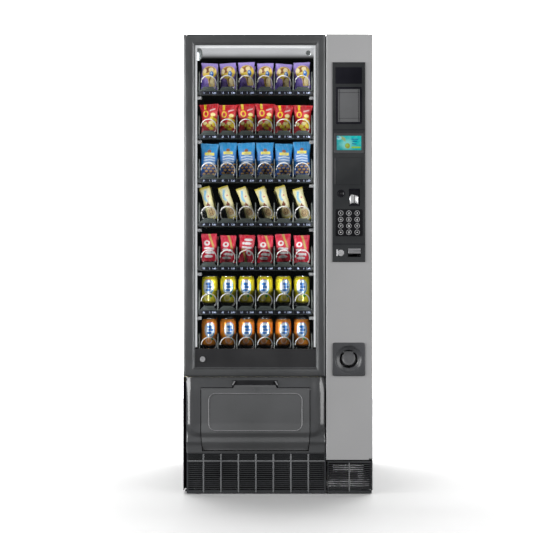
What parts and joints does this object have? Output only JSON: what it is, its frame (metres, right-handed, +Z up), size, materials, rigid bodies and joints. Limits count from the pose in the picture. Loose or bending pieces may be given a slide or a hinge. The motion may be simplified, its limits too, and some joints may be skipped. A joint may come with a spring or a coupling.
{
  "type": "snack vending machine",
  "caption": "Floor-standing spiral snack vending machine with a glazed display door, a payment column, sliding spiral trays and a push-flap delivery bin.",
  "frame": {"origin": "on the floor, under the middle of the machine's outer box", "axes": "+Z up, front towards -Y, +X to the right of a person facing the front"},
  "size_m": [0.754, 0.86, 1.83],
  "materials": {
    "cabinet_paint": "satin black powder coat",
    "column_paint": "satin silver-grey powder coat",
    "door_aluminium": "satin anthracite anodised extrusion",
    "door_glass": "clear double glazing",
    "band_plastic": "near-black panel",
    "seal_rubber": "matte black seal",
    "led_diffuser": "emissive white light strip",
    "module_plastic": "fine-grained black moulding",
    "display_face": "emissive colour display",
    "key_plastic": "dark keys with grey rings",
    "lock_chrome": "polished",
    "cup_plastic": "glossy anthracite moulding",
    "bin_plastic": "glossy anthracite moulding",
    "flap_plastic": "satin grained moulding",
    "grille_plastic": "satin charcoal moulding",
    "black_plastic": "matte black",
    "mechanism_plastic": "dark grey housing",
    "black_paint": "semi-gloss black",
    "zinc_steel": "bright zinc plate",
    "tray_steel": "satin grey-green dark coat",
    "spiral_wire": "drawn wire, bright",
    "liner": "matte black liner",
    "foam": "rigid foam",
    "fin_aluminium": "bare fins"
  },
  "bodies": {
    "cabinet": {"cabinet_shell": "cabinet_paint", "foam_insulation": "foam", "inner_liner": "liner", "base_frame": "zinc_steel", "levelling_feet": "black_plastic", "tray_runners": "zinc_steel", "kick_grille_left": "grille_plastic", "kick_grille_right": "grille_plastic", "compressor": "black_paint", "condenser": "black_paint", "evaporator": "fin_aluminium", "mains_inlet": "black_plastic", "coin_mechanism": "mechanism_plastic", "bin_fascia": "bin_plastic", "bin_bucket": "black_plastic", "hinge_pins": "zinc_steel"},
    "glass_door": {"door_frame": "door_aluminium", "door_glass": "door_glass", "window_band": "band_plastic", "door_gasket": "seal_rubber", "led_strips": "led_diffuser"},
    "column_door": {"column_panel": "column_paint", "control_module": "module_plastic", "display": "display_face", "coin_funnel": "lock_chrome", "coin_cup": "cup_plastic"},
    "door_lock_barrel": {"door_lock": "lock_chrome"},
    "column_lock_barrel": {"column_lock": "lock_chrome"},
    "reject_key": {"reject_button": "key_plastic"},
    "return_flap": {"coin_cup_flap": "cup_plastic"},
    "delivery_flap": {"bin_flap": "flap_plastic"},
    "guard_flap": {"anti_theft_flap": "black_paint"},
    "fan": {"cooling_fan": "black_plastic"},
    "spiral": {"turning_spiral": "spiral_wire"},
    "keycap_1": {"key_1": "key_plastic"},
    "keycap_2": {"key_2": "key_plastic"},
    "keycap_3": {"key_3": "key_plastic"},
    "keycap_4": {"key_4": "key_plastic"},
    "keycap_5": {"key_5": "key_plastic"},
    "keycap_6": {"key_6": "key_plastic"},
    "keycap_7": {"key_7": "key_plastic"},
    "keycap_8": {"key_8": "key_plastic"},
    "keycap_9": {"key_9": "key_plastic"},
    "keycap_clear": {"key_clear": "key_plastic"},
    "keycap_0": {"key_0": "key_plastic"},
    "keycap_enter": {"key_enter": "key_plastic"},
    "tray_body_1": {"tray_1": "tray_steel", "spirals_1": "spiral_wire"},
    "tray_body_2": {"tray_2": "tray_steel", "spirals_2": "spiral_wire"},
    "tray_body_3": {"tray_3": "tray_steel", "spirals_3": "spiral_wire"},
    "tray_body_4": {"tray_4": "tray_steel", "spirals_4": "spiral_wire"},
    "tray_body_5": {"tray_5": "tray_steel", "spirals_5": "spiral_wire"},
    "tray_body_6": {"tray_6": "tray_steel", "spirals_6": "spiral_wire"},
    "tray_body_7": {"tray_7": "tray_steel", "spirals_7": "spiral_wire"}
  },
  "joints": [
    {"name": "glass_door_hinge", "type": "hinge", "parent": "cabinet", "child": "glass_door", "pos_m": [-0.3705, -0.4135, 1.148], "axis": [0, 0, -1], "range_deg": [0, 95]},
    {"name": "column_door_hinge", "type": "hinge", "parent": "cabinet", "child": "column_door", "pos_m": [0.3705, -0.4135, 0.983], "axis": [0, 0, 1], "range_deg": [0, 95]},
    {"name": "door_lock_turn", "type": "hinge", "parent": "glass_door", "child": "door_lock_barrel", "pos_m": [-0.3, -0.4, 0.536], "axis": [0, -1, 0], "range_deg": [0, 90]},
    {"name": "column_lock_turn", "type": "hinge", "parent": "column_door", "child": "column_lock_barrel", "pos_m": [0.25, -0.41, 0.959], "axis": [0, -1, 0], "range_deg": [0, 90]},
    {"name": "return_flap_swing", "type": "hinge", "parent": "column_door", "child": "return_flap", "pos_m": [0.282, -0.406, 0.564], "axis": [1, 0, 0], "range_deg": [0, 60]},
    {"name": "delivery_flap_swing", "type": "hinge", "parent": "cabinet", "child": "delivery_flap", "pos_m": [-0.0895, -0.417, 0.416], "axis": [1, 0, 0], "range_deg": [0, 60]},
    {"name": "guard_flap_swing", "type": "hinge", "parent": "cabinet", "child": "guard_flap", "pos_m": [-0.0895, -0.288, 0.43], "axis": [1, 0, 0], "range_deg": [-88, 0]},
    {"name": "fan_spin", "type": "hinge", "parent": "cabinet", "child": "fan", "pos_m": [-0.145, -0.092, 0.2], "axis": [0, 1, 0], "continuous": true},
    {"name": "reject_press", "type": "slide", "parent": "column_door", "child": "reject_key", "axis": [0, 1, 0], "range_m": [0, 0.0025], "stiffness_N_per_m": 250, "springref_m": -0.001},
    {"name": "key_1_press", "type": "slide", "parent": "column_door", "child": "keycap_1", "axis": [0, 1, 0], "range_m": [0, 0.002], "stiffness_N_per_m": 300, "springref_m": -0.001},
    {"name": "key_2_press", "type": "slide", "parent": "column_door", "child": "keycap_2", "axis": [0, 1, 0], "range_m": [0, 0.002], "stiffness_N_per_m": 300, "springref_m": -0.001},
    {"name": "key_3_press", "type": "slide", "parent": "column_door", "child": "keycap_3", "axis": [0, 1, 0], "range_m": [0, 0.002], "stiffness_N_per_m": 300, "springref_m": -0.001},
    {"name": "key_4_press", "type": "slide", "parent": "column_door", "child": "keycap_4", "axis": [0, 1, 0], "range_m": [0, 0.002], "stiffness_N_per_m": 300, "springref_m": -0.001},
    {"name": "key_5_press", "type": "slide", "parent": "column_door", "child": "keycap_5", "axis": [0, 1, 0], "range_m": [0, 0.002], "stiffness_N_per_m": 300, "springref_m": -0.001},
    {"name": "key_6_press", "type": "slide", "parent": "column_door", "child": "keycap_6", "axis": [0, 1, 0], "range_m": [0, 0.002], "stiffness_N_per_m": 300, "springref_m": -0.001},
    {"name": "key_7_press", "type": "slide", "parent": "column_door", "child": "keycap_7", "axis": [0, 1, 0], "range_m": [0, 0.002], "stiffness_N_per_m": 300, "springref_m": -0.001},
    {"name": "key_8_press", "type": "slide", "parent": "column_door", "child": "keycap_8", "axis": [0, 1, 0], "range_m": [0, 0.002], "stiffness_N_per_m": 300, "springref_m": -0.001},
    {"name": "key_9_press", "type": "slide", "parent": "column_door", "child": "keycap_9", "axis": [0, 1, 0], "range_m": [0, 0.002], "stiffness_N_per_m": 300, "springref_m": -0.001},
    {"name": "key_clear_press", "type": "slide", "parent": "column_door", "child": "keycap_clear", "axis": [0, 1, 0], "range_m": [0, 0.002], "stiffness_N_per_m": 300, "springref_m": -0.001},
    {"name": "key_0_press", "type": "slide", "parent": "column_door", "child": "keycap_0", "axis": [0, 1, 0], "range_m": [0, 0.002], "stiffness_N_per_m": 300, "springref_m": -0.001},
    {"name": "key_enter_press", "type": "slide", "parent": "column_door", "child": "keycap_enter", "axis": [0, 1, 0], "range_m": [0, 0.002], "stiffness_N_per_m": 300, "springref_m": -0.001},
    {"name": "tray_1_slide", "type": "slide", "parent": "cabinet", "child": "tray_body_1", "axis": [0, -1, 0], "range_m": [0, 0.05]},
    {"name": "tray_2_slide", "type": "slide", "parent": "cabinet", "child": "tray_body_2", "axis": [0, -1, 0], "range_m": [0, 0.05]},
    {"name": "tray_3_slide", "type": "slide", "parent": "cabinet", "child": "tray_body_3", "axis": [0, -1, 0], "range_m": [0, 0.05]},
    {"name": "tray_4_slide", "type": "slide", "parent": "cabinet", "child": "tray_body_4", "axis": [0, -1, 0], "range_m": [0, 0.05]},
    {"name": "tray_5_slide", "type": "slide", "parent": "cabinet", "child": "tray_body_5", "axis": [0, -1, 0], "range_m": [0, 0.05]},
    {"name": "tray_6_slide", "type": "slide", "parent": "cabinet", "child": "tray_body_6", "axis": [0, -1, 0], "range_m": [0, 0.05]},
    {"name": "tray_7_slide", "type": "slide", "parent": "cabinet", "child": "tray_body_7", "axis": [0, -1, 0], "range_m": [0, 0.05]},
    {"name": "spiral_turn", "type": "hinge", "parent": "tray_body_2", "child": "spiral", "pos_m": [-0.281, -0.03, 1.476], "axis": [0, 1, 0], "continuous": true}
  ],
  "couplings": [
    {"joint": "guard_flap_swing", "follows": "delivery_flap_swing", "ratio": -1.45}
  ]
}
